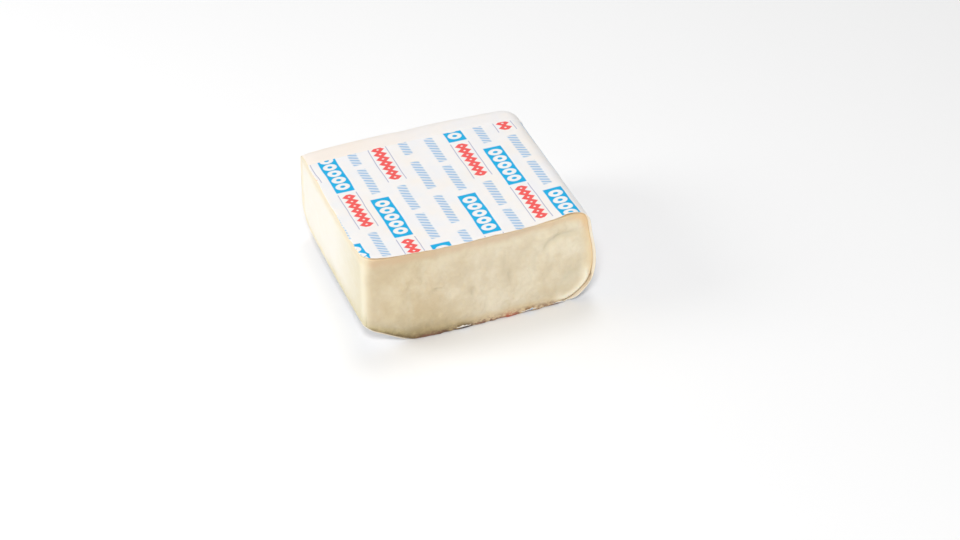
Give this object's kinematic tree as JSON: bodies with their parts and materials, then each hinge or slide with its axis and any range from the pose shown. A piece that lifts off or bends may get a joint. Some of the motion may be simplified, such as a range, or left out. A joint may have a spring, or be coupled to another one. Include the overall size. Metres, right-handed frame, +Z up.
{
  "type": "wrapped cheese piece",
  "caption": "Corner piece of a square soft washed-rind cheese: cut faces in front and on the left, printed paper folded over the rind sides.",
  "frame": {"origin": "middle of the bounding box, on the underside that the piece rests on", "axes": "+Z up; the larger cut face looks along -Y and the smaller one along -X, the rind sides along +X and +Y"},
  "size_m": [0.1164, 0.1036, 0.0525],
  "materials": {
    "cheese": "soft, slightly moist, matt",
    "paper": "smooth waxed paper with a printed pattern"
  },
  "bodies": {
    "root": {"cheese": "cheese", "paper_wrap": "paper"}
  },
  "joints": []
}
